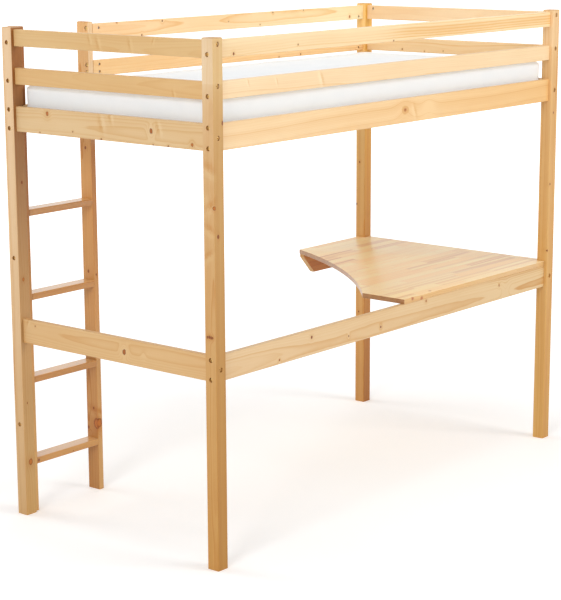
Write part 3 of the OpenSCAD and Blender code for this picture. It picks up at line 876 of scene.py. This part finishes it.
def barrel_nut(bm, centre, axis, face):
    """A slotted barrel nut: axis runs across the rail towards its open end."""
    floor_at = NUT_HALF - SLOT_DEPTH
    body = [("o", 0, -NUT_HALF), ("o", 4.4, -NUT_HALF), ("o", NUT_RADIUS, -NUT_HALF + 0.6),
            ("o", NUT_RADIUS, floor_at), ("o", 0, floor_at)]
    turned(bm, centre, axis, body)
    across = Vector(axis).cross(face)
    x0, y0 = SLOT_EDGE
    half_arc = math.atan2(y0, x0)
    outline = [(x0, -y0), (x0, y0)]
    for i in range(1, ARC_STEPS):
        angle = half_arc - 2 * half_arc * i / ARC_STEPS
        outline.append((NUT_RADIUS * math.cos(angle), NUT_RADIUS * math.sin(angle)))
    count = len(outline)
    for side in (1, -1):
        lower, upper = [], []
        for ring, height, scale in ((lower, NUT_HALF - 1.8, 1.0), (upper, NUT_HALF, 0.94)):
            for x, y in outline:
                point = centre + Vector(axis) * (height / 1000) + across * (side * x * scale / 1000)
                ring.append(bm.verts.new(point + Vector(face) * (y * scale / 1000)))
        for i in range(count):
            j = (i + 1) % count
            bm.faces.new([lower[i], lower[j], upper[j], upper[i]])
        bm.faces.new(upper)
        bm.faces.new(lower[::-1])


def connectors(bolts, nuts, bolt_node, nut_node):
    """The bolts and the nuts of one place, in place of their CAD nodes."""
    fitting(bolt_node + "_fitting", bolts, ZINC, bolt_node)
    fitting(nut_node + "_fitting", nuts, STEEL, nut_node)


for corner, (ix, iy, heights) in CORNERS.items():
    sx, sy = 1 - 2 * ix, 1 - 2 * iy
    corner_x, corner_y = FRAME_LENGTH * ix, FRAME_WIDTH * iy
    post_x, post_y = corner_x + POST_MIDDLE * sx, corner_y + POST_MIDDLE * sy
    bolts, nuts = bmesh.new(), bmesh.new()
    for z in heights:
        turned(bolts, at(corner_x, post_y, z), (sx, 0, 0), bolt_profile(SINK_POST, BOLT_REACH))
        barrel_nut(nuts, at(corner_x + NUT_INSET * sx, post_y, z), (0, sy, 0), Vector((1, 0, 0)))
    for z in END_Z:
        turned(bolts, at(post_x, corner_y, z), (0, sy, 0), bolt_profile(SINK_POST, BOLT_REACH))
        barrel_nut(nuts, at(post_x, corner_y + NUT_INSET * sy, z), (sx, 0, 0), Vector((0, 1, 0)))
    connectors(bolts, nuts, "bolts_" + corner, "nuts_" + corner)

bolts, nuts = bmesh.new(), bmesh.new()
for z in PAIR_Z:
    turned(bolts, at(0, LADDER_Y, z), (1, 0, 0), bolt_profile(SINK_POST, PAIR_MEETS_X))
    turned(nuts, at(PAIR_MEETS_X, LADDER_Y, z), (1, 0, 0), SLEEVE_NUT)
for z in STILE_Z:
    turned(bolts, at(STILE_FACE_X, LADDER_Y, z), (1, 0, 0), bolt_profile(SINK_STILE, STILE_REACH))
    barrel_nut(nuts, at(STILE_NUT_X, LADDER_Y, z), (0, -1, 0), Vector((1, 0, 0)))
connectors(bolts, nuts, "ladder_bolts", "ladder_nuts")


def screw(bm, where, axis, r=3.6):
    """The head of a countersunk screw with a cross recess."""
    turned(bm, where, axis, [("o", 0, -3), ("o", 1.6, -3), ("o", r * 0.8, -0.9), ("o", r, 0.0),
                             ("o", r * 0.97, 0.25), ("o", r * 0.72, 0.4), ("cross", r * 0.5, 0.4),
                             ("cross", r * 0.4, -0.7), ("o", 0, -0.9)])


SLATS = 15
LEDGER_SCREWS = 9
LEDGER_Z = 1414  # middle of the ledgers
FIRST_LEDGER_X = 110
LEDGER_PITCH = 232.5
RUNGS = 4
FIRST_RUNG_Z = 189  # middle of the lowest rung
RUNG_PITCH = 305.7
STILE_OUTER_X = 408
RUNG_SCREW_RADIUS = 4.2


def add_screws():
    """The screws of the slats, the ledgers and the rungs."""
    bm = bmesh.new()
    for i in range(1, SLATS + 1):
        low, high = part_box("slat_%d" % i)
        for y in (46, 934):
            screw(bm, Vector(((low.x + high.x) / 2, place(y, 1), high.z)), (0, 0, 1))
    for i in range(LEDGER_SCREWS):
        x = FIRST_LEDGER_X + LEDGER_PITCH * i
        screw(bm, at(x, 57, LEDGER_Z), (0, 1, 0))
        screw(bm, at(x, 923, LEDGER_Z), (0, -1, 0))
    for i in range(RUNGS):
        z = FIRST_RUNG_Z + RUNG_PITCH * i
        for y in (962, 987):
            screw(bm, at(STILE_OUTER_X, y, z), (1, 0, 0), RUNG_SCREW_RADIUS)
    fitting("countersunk_screws", bm, STEEL)


add_screws()


# ---- Mattress ------------------------------------------------------------------------------

WEAVE = 0.0016  # one repeat of the ticking in metres
MATTRESS_MIDDLE_Y = -0.0115
CORNER_RADIUS = 0.030
LEAST_RADIUS = 0.006
EDGE_RADIUS = 0.011
CROWN = 0.004  # how much the top swells
DRAW_IN = 0.002  # how much the sides pull in
CORNER_STEPS = 8
SIDE_STEPS = 6
EDGE_STEPS = 5
TOP_INNER = 0.02  # half the width of the top's innermost level
ALL_ROUND = 0.003  # how much smaller than its CAD solid the form starts
VOXEL = 0.011
MOST_PUFF = 0.004
PRESSURE = 4.0
STIFFNESS = 22.0
BENDING_STIFFNESS = 1.2
PRESSURE_FRAMES = 20
UNEVENNESS = 0.0011
TOP_ABOVE = 0.10  # above this height a point belongs to the top


def ticking():
    """A fine twill weave, white."""
    t = Material("mattress_ticking")
    p = t.split(t.point)
    k = 2 * math.pi / WEAVE
    weave = t.times(t.calc("SINE", t.times(t.plus(p[0], p[2]), k)),
                    t.calc("SINE", t.times(t.plus(p[1], p[2]), k)))
    clouds = t.noise3(t.point, 9.0, 3.0, 0.55)
    nap = t.noise3(t.point, 700.0, 2.0, 0.6)
    colour = t.mix(t.span(clouds, 0.3, 0.7), srgb(245, 249, 251), srgb(241, 246, 249))
    colour = t.mix(t.times(t.span(nap, 0.4, 0.75), 0.14), colour, srgb(226, 227, 229))
    t.set_shader(Base_Color=colour, Roughness=0.88, Specular_IOR_Level=0.25, Sheen_Weight=0.25,
                 Sheen_Roughness=0.5)
    t.bump(t.plus(t.times(weave, 0.35), t.times(nap, 0.5)), 0.35, 0.0004)
    return t.owner


def mattress_levels(width, height):
    """Pairs of inset and height, from the underside up round the edges to the crowned top."""
    side = height - CROWN
    curve = [math.pi / 2 * k / EDGE_STEPS for k in range(EDGE_STEPS + 1)]
    levels = [(EDGE_RADIUS * (1 - math.sin(a)), EDGE_RADIUS * (1 - math.cos(a))) for a in curve]
    for k in range(1, SIDE_STEPS):
        inset = DRAW_IN * math.sin(math.pi * k / SIDE_STEPS)
        levels.append((inset, EDGE_RADIUS + (side - 2 * EDGE_RADIUS) * k / SIDE_STEPS))
    for a in curve:
        levels.append((EDGE_RADIUS * (1 - math.cos(a)), side - EDGE_RADIUS * (1 - math.sin(a))))
    for k in range(1, EDGE_STEPS + 1):
        inset = EDGE_RADIUS + (width / 2 - EDGE_RADIUS - TOP_INNER) * k / EDGE_STEPS
        levels.append((inset, side + CROWN * math.sin(math.pi / 2 * k / EDGE_STEPS)))
    return levels


def mattress_ring(bm, length, width, inset, z):
    """One level's outline with round corners."""
    r = max(CORNER_RADIUS - inset, LEAST_RADIUS)
    cx, cy = length / 2 - inset - r, width / 2 - inset - r
    ring = []
    for quarter in range(4):
        sx = 1 if quarter in (0, 3) else -1
        sy = 1 if quarter < 2 else -1
        for k in range(CORNER_STEPS + 1):
            a = math.pi / 2 * (quarter + k / CORNER_STEPS)
            point = (sx * cx + r * math.cos(a), sy * cy + r * math.sin(a) + MATTRESS_MIDDLE_Y, z)
            ring.append(bm.verts.new(point))
    return ring


def mattress_form(length, width, height, bottom):
    """A closed crowned form with rounded corners and edges, its sides drawn in a little."""
    bm = bmesh.new()
    found = [mattress_ring(bm, length, width, inset, bottom + z)
             for inset, z in mattress_levels(width, height)]
    for lower, upper in zip(found, found[1:]):
        count = len(upper)
        for i in range(count):
            j = (i + 1) % count
            bm.faces.new([lower[i], lower[j], upper[j], upper[i]])
    bm.faces.new(found[0][::-1])
    bm.faces.new(found[-1])
    bmesh.ops.recalc_face_normals(bm, faces=bm.faces)
    return mesh_object("mattress_cover", bm)


def swell(obj):
    """Blender's cloth under pressure, applied to the mesh."""
    cloth = obj.modifiers.new("cloth", "CLOTH")
    cloth.settings.use_pressure = True
    cloth.settings.uniform_pressure_force = PRESSURE
    cloth.settings.tension_stiffness = STIFFNESS
    cloth.settings.compression_stiffness = STIFFNESS
    cloth.settings.bending_stiffness = BENDING_STIFFNESS
    cloth.settings.effector_weights.gravity = 0.0
    cloth.point_cache.frame_start = 1
    cloth.point_cache.frame_end = PRESSURE_FRAMES
    for number in range(1, PRESSURE_FRAMES + 1):
        bpy.context.scene.frame_set(number)
    bake(obj)
    bpy.context.scene.frame_set(1)


def puff(obj, bottom):
    """Fills the form with air, caps how far a point may move, and keeps the underside flat."""
    remesh = obj.modifiers.new("remesh", "REMESH")
    remesh.mode = "VOXEL"
    remesh.voxel_size = VOXEL
    bake(obj)
    rest = [vertex.co.copy() for vertex in obj.data.vertices]
    swell(obj)
    for vertex, start in zip(obj.data.vertices, rest):
        move = vertex.co - start
        if move.length > MOST_PUFF:
            move *= MOST_PUFF / move.length
        where = Vector((start.x * 7, start.y * 7, start.z * 9 + 3))
        outwards = Vector((start.x, start.y * 2.2, 0)).normalized()
        if start.z > bottom + TOP_ABOVE:
            outwards = UP
        dent = mnoise.fractal(where, 1.0, 2.0, 3) * UNEVENNESS
        vertex.co = start + move + outwards * dent
        vertex.co.z = max(vertex.co.z, bottom)
    smooth_faces(obj)
    obj.data.update()


def make_mattress():
    low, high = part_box("mattress")
    size = high - low
    length, width = size.x - 2 * ALL_ROUND, size.y - 2 * ALL_ROUND
    obj = mattress_form(length, width, size.z - ALL_ROUND, low.z)
    puff(obj, low.z)
    obj.data.materials.clear()
    obj.data.materials.append(ticking())
    return obj


mattress = make_mattress()
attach(mattress, "mattress")
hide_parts("mattress")


# ---- Floor, light and camera ---------------------------------------------------------------

WHITE = (1, 1, 1, 1)
SKY_LIGHT = (0.97, 0.98, 1.0, 1)
SKY_STRENGTH = 0.44
LAMP_TARGET = (0, 0, 1.0)


def seen_by_eye(t):
    """1 for the camera's rays and those that gloss and glass pass on, and 0 for light."""
    path = t.add("ShaderNodeLightPath").outputs
    seen = t.calc("MAXIMUM", path["Is Camera Ray"], path["Is Glossy Ray"])
    return t.calc("MAXIMUM", seen, path["Is Transmission Ray"])


def add_floor():
    """A pale floor that keeps the shadow and turns to white with the distance."""
    t = Material("floor_pale")
    clouds = t.noise3(t.point, 1.5, 2.0)
    xy = t.split(t.point)
    glow = t.span(t.length(xy[0], xy[1]), 1.2, 7.0, 0.22, 0.9)
    t.set_shader(Base_Color=t.mix(clouds, srgb(247, 247, 247), srgb(244, 244, 244)), Roughness=0.7,
                 Specular_IOR_Level=0.2, Emission_Color=WHITE,
                 Emission_Strength=t.times(seen_by_eye(t), glow))
    bm = bmesh.new()
    bmesh.ops.create_grid(bm, x_segments=1, y_segments=1, size=40.0)
    mesh_object("floor", bm, t.owner)


def background(t, colour, strength):
    node = t.add("ShaderNodeBackground")
    t.put(node.inputs[0], colour)
    t.put(node.inputs[1], strength)
    return node.outputs[0]


def add_world():
    """White where it is seen, and a weaker sky that lights the object."""
    world = bpy.data.worlds.new("studio")
    bpy.context.scene.world = world
    t = Tree(world)
    blend = t.add("ShaderNodeMixShader")
    t.put(blend.inputs[0], seen_by_eye(t))
    t.put(blend.inputs[1], background(t, SKY_LIGHT, SKY_STRENGTH))
    t.put(blend.inputs[2], background(t, WHITE, 1.0))
    t.put(t.add("ShaderNodeOutputWorld").inputs[0], blend.outputs[0])


def add_lamp(name, position, size, watts):
    """A square lamp that faces the object."""
    lamp = bpy.data.lights.new(name, "AREA")
    lamp.shape = "SQUARE"
    lamp.size = size
    lamp.energy = watts
    obj = add_object(name, lamp)
    obj.location = position
    towards = Vector(LAMP_TARGET) - Vector(position)
    obj.rotation_euler = towards.to_track_quat("-Z", "Y").to_euler()


def add_camera():
    """It stands within 0.1 m of where the photograph was taken from, without its shift."""
    camera = bpy.data.cameras.new("camera")
    obj = add_object("camera", camera)
    bpy.context.scene.camera = obj
    camera.sensor_width = 36.0
    camera.lens = 110.36
    camera.clip_start = 0.1
    camera.clip_end = 200.0
    yaw, pitch, roll = (math.radians(angle) for angle in (39.6792, -11.925, 0.2504))
    forward = Vector((math.cos(yaw) * math.cos(pitch), math.sin(yaw) * math.cos(pitch),
                      math.sin(pitch)))
    level = forward.cross(UP).normalized()
    plumb = forward.cross(level)
    right = level * math.cos(roll) + plumb * math.sin(roll)
    down = plumb * math.cos(roll) - level * math.sin(roll)
    turn = Matrix((right, -down, -forward)).transposed().to_4x4()
    obj.matrix_world = Matrix.Translation((-5.3771, -4.3724, 2.1517)) @ turn


add_floor()
add_world()
add_lamp("left", (-11.0, -3.2, 5.0), 4.0, 482)
add_lamp("front", (3.2, -9.9, 5.0), 5.0, 478)
add_lamp("top", (0, 0.3, 6.5), 4.0, 88)
add_lamp("rear", (-3.0, 11.0, 5.5), 5.0, 330)
add_camera()

bpy.context.scene.view_settings.view_transform = "Standard"

bpy.context.view_layer.update()
